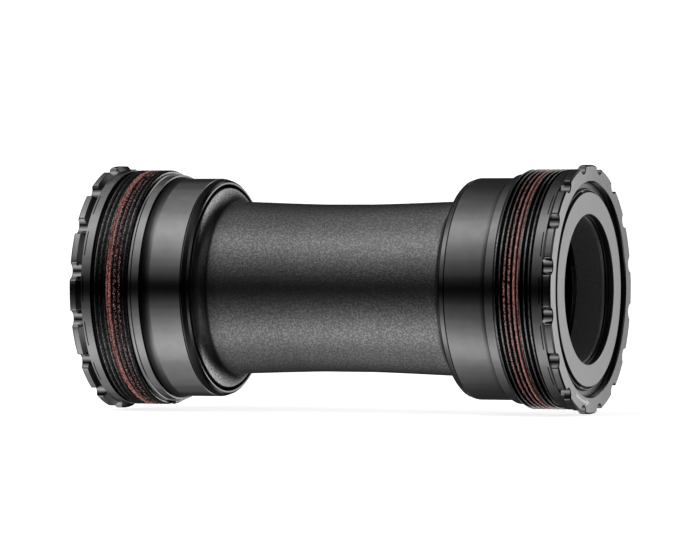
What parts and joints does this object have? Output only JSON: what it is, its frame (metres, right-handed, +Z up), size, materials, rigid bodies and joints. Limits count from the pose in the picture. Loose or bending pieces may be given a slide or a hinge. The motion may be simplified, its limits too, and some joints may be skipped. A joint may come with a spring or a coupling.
{
  "type": "bottom bracket",
  "caption": "Threaded bicycle bottom bracket: two notched black cups on a flared centre sleeve, sealed ball bearings inside and a spindle bore right through.",
  "frame": {"origin": "on the spindle axis, halfway between the two rim faces", "axes": "+X along the spindle axis towards the drive side, +Z up"},
  "size_m": [0.1014, 0.049, 0.049],
  "materials": {
    "anodised_aluminium": "black satin anodised",
    "sleeve_plastic": "black, fine spark-eroded texture",
    "cover_plastic": "black, satin",
    "bush_plastic": "dark grey, fine texture",
    "cage_nylon": "ivory nylon",
    "rubber": "black, satin",
    "bearing_steel": "ground",
    "ball_steel": "polished"
  },
  "bodies": {
    "drive_cup": {"drive_cup": "anodised_aluminium", "drive_bearing_outer_race": "bearing_steel", "drive_outboard_bearing_seal": "rubber", "drive_inboard_bearing_seal": "rubber", "drive_lip_seal": "rubber"},
    "drive_spindle_set": {"drive_bearing_inner_race": "bearing_steel", "drive_spindle_bush": "bush_plastic", "drive_spindle_wiper": "rubber", "drive_dust_cover": "cover_plastic"},
    "drive_cage_set": {"drive_ball_cage": "cage_nylon", "drive_ball_01": "ball_steel", "drive_ball_02": "ball_steel", "drive_ball_03": "ball_steel", "drive_ball_04": "ball_steel", "drive_ball_05": "ball_steel", "drive_ball_06": "ball_steel", "drive_ball_07": "ball_steel", "drive_ball_08": "ball_steel", "drive_ball_09": "ball_steel", "drive_ball_10": "ball_steel", "drive_ball_11": "ball_steel", "drive_ball_12": "ball_steel", "drive_ball_13": "ball_steel", "drive_ball_14": "ball_steel", "drive_ball_15": "ball_steel", "drive_ball_16": "ball_steel", "drive_ball_17": "ball_steel"},
    "drive_o_ring": {"drive_sleeve_o_ring": "rubber"},
    "nondrive_cup": {"nondrive_cup": "anodised_aluminium", "nondrive_bearing_outer_race": "bearing_steel", "nondrive_outboard_bearing_seal": "rubber", "nondrive_inboard_bearing_seal": "rubber", "nondrive_lip_seal": "rubber"},
    "nondrive_spindle_set": {"nondrive_bearing_inner_race": "bearing_steel", "nondrive_spindle_bush": "bush_plastic", "nondrive_spindle_wiper": "rubber", "nondrive_dust_cover": "cover_plastic"},
    "nondrive_cage_set": {"nondrive_ball_cage": "cage_nylon", "nondrive_ball_01": "ball_steel", "nondrive_ball_02": "ball_steel", "nondrive_ball_03": "ball_steel", "nondrive_ball_04": "ball_steel", "nondrive_ball_05": "ball_steel", "nondrive_ball_06": "ball_steel", "nondrive_ball_07": "ball_steel", "nondrive_ball_08": "ball_steel", "nondrive_ball_09": "ball_steel", "nondrive_ball_10": "ball_steel", "nondrive_ball_11": "ball_steel", "nondrive_ball_12": "ball_steel", "nondrive_ball_13": "ball_steel", "nondrive_ball_14": "ball_steel", "nondrive_ball_15": "ball_steel", "nondrive_ball_16": "ball_steel", "nondrive_ball_17": "ball_steel"},
    "nondrive_o_ring": {"nondrive_sleeve_o_ring": "rubber"},
    "sleeve": {"center_sleeve": "sleeve_plastic"}
  },
  "joints": [
    {"name": "drive_sleeve_slide", "type": "slide", "parent": "drive_cup", "child": "drive_o_ring", "axis": [1, 0, 0], "range_m": [0, 0.0056]},
    {"name": "drive_sleeve_turn", "type": "hinge", "parent": "drive_o_ring", "child": "sleeve", "pos_m": [0.0287, 0, 0], "axis": [1, 0, 0], "continuous": true},
    {"name": "nondrive_cup_turn", "type": "hinge", "parent": "sleeve", "child": "nondrive_o_ring", "pos_m": [-0.0287, 0, 0], "axis": [1, 0, 0], "continuous": true},
    {"name": "nondrive_cup_slide", "type": "slide", "parent": "nondrive_o_ring", "child": "nondrive_cup", "axis": [1, 0, 0], "range_m": [0, 0.0056]},
    {"name": "drive_spindle_spin", "type": "hinge", "parent": "drive_cup", "child": "drive_spindle_set", "pos_m": [0.04482, 0, 0], "axis": [1, 0, 0], "continuous": true},
    {"name": "drive_cage_roll", "type": "hinge", "parent": "drive_cup", "child": "drive_cage_set", "pos_m": [0.04482, 0, 0], "axis": [1, 0, 0], "continuous": true},
    {"name": "nondrive_spindle_spin", "type": "hinge", "parent": "nondrive_cup", "child": "nondrive_spindle_set", "pos_m": [-0.04482, 0, 0], "axis": [1, 0, 0], "continuous": true},
    {"name": "nondrive_cage_roll", "type": "hinge", "parent": "nondrive_cup", "child": "nondrive_cage_set", "pos_m": [-0.04482, 0, 0], "axis": [1, 0, 0], "continuous": true}
  ],
  "couplings": [
    {"joint": "drive_cage_roll", "follows": "drive_spindle_spin", "ratio": 0.45139},
    {"joint": "nondrive_cage_roll", "follows": "nondrive_spindle_spin", "ratio": 0.45139}
  ]
}
